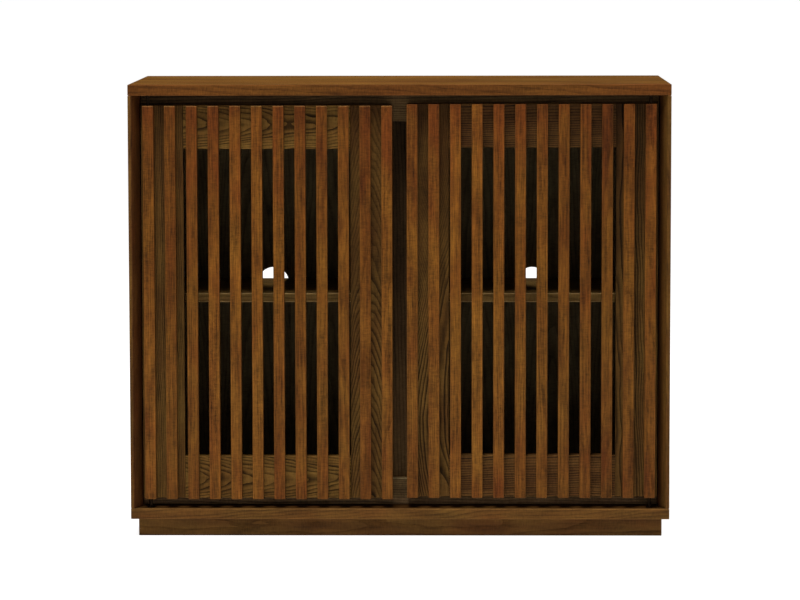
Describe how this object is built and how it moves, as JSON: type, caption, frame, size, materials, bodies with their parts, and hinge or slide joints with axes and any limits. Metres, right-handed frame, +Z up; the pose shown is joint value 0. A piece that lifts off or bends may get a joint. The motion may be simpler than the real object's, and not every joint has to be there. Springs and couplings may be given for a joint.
{
  "type": "sideboard",
  "caption": "Low wooden sideboard with a pair of slatted doors, a shelf in each bay, splayed side panels and a recessed plinth.",
  "frame": {"origin": "on the floor, under the middle of the case", "axes": "+X along the sideboard to its right as seen from the front, +Y from the doors to the back, +Z up"},
  "size_m": [0.9, 0.4, 0.756],
  "materials": {
    "case_wood": "walnut-stained ash, satin lacquer",
    "slat_wood": "reddish brown stained hardwood, satin lacquer",
    "frame_wood": "dark walnut-stained ash, open grain, satin lacquer",
    "inner_wood": "dark walnut-stained ash, matt lacquer",
    "bronze": "dark bronze, satin",
    "rubber": "matt"
  },
  "bodies": {
    "case": {"base_board": "case_wood", "top_board": "case_wood", "side_left": "case_wood", "side_right": "case_wood", "plinth_front": "case_wood", "plinth_back": "case_wood", "plinth_left": "case_wood", "plinth_right": "case_wood", "partition": "inner_wood", "shelf_left": "inner_wood", "shelf_right": "inner_wood", "header_rail": "inner_wood", "sill_rail": "inner_wood", "back_panel": "inner_wood", "bush_left_bottom": "bronze", "bush_left_top": "bronze", "bush_right_bottom": "bronze", "bush_right_top": "bronze", "bumper_left_bottom": "rubber", "bumper_left_top": "rubber", "bumper_right_bottom": "rubber", "bumper_right_top": "rubber"},
    "door_left": {"door_left_stile_inner": "frame_wood", "door_left_stile_outer": "frame_wood", "door_left_rail_bottom": "frame_wood", "door_left_rail_top": "frame_wood", "door_left_slat_01": "slat_wood", "door_left_slat_02": "slat_wood", "door_left_slat_03": "slat_wood", "door_left_slat_04": "slat_wood", "door_left_slat_05": "slat_wood", "door_left_slat_06": "slat_wood", "door_left_slat_07": "slat_wood", "door_left_slat_08": "slat_wood", "door_left_slat_09": "slat_wood", "door_left_slat_10": "slat_wood", "door_left_slat_11": "slat_wood", "door_left_slat_12": "slat_wood", "door_left_pin_bottom": "bronze", "door_left_pin_top": "bronze"},
    "door_right": {"door_right_stile_inner": "frame_wood", "door_right_stile_outer": "frame_wood", "door_right_rail_bottom": "frame_wood", "door_right_rail_top": "frame_wood", "door_right_slat_01": "slat_wood", "door_right_slat_02": "slat_wood", "door_right_slat_03": "slat_wood", "door_right_slat_04": "slat_wood", "door_right_slat_05": "slat_wood", "door_right_slat_06": "slat_wood", "door_right_slat_07": "slat_wood", "door_right_slat_08": "slat_wood", "door_right_slat_09": "slat_wood", "door_right_slat_10": "slat_wood", "door_right_slat_11": "slat_wood", "door_right_slat_12": "slat_wood", "door_right_pin_bottom": "bronze", "door_right_pin_top": "bronze"}
  },
  "joints": [
    {"name": "door_left_swing", "type": "hinge", "parent": "case", "child": "door_left", "pos_m": [-0.417, -0.186, 0.393], "axis": [0, 0, -1], "range_deg": [0, 110]},
    {"name": "door_right_swing", "type": "hinge", "parent": "case", "child": "door_right", "pos_m": [0.417, -0.186, 0.393], "axis": [0, 0, 1], "range_deg": [0, 110]}
  ]
}
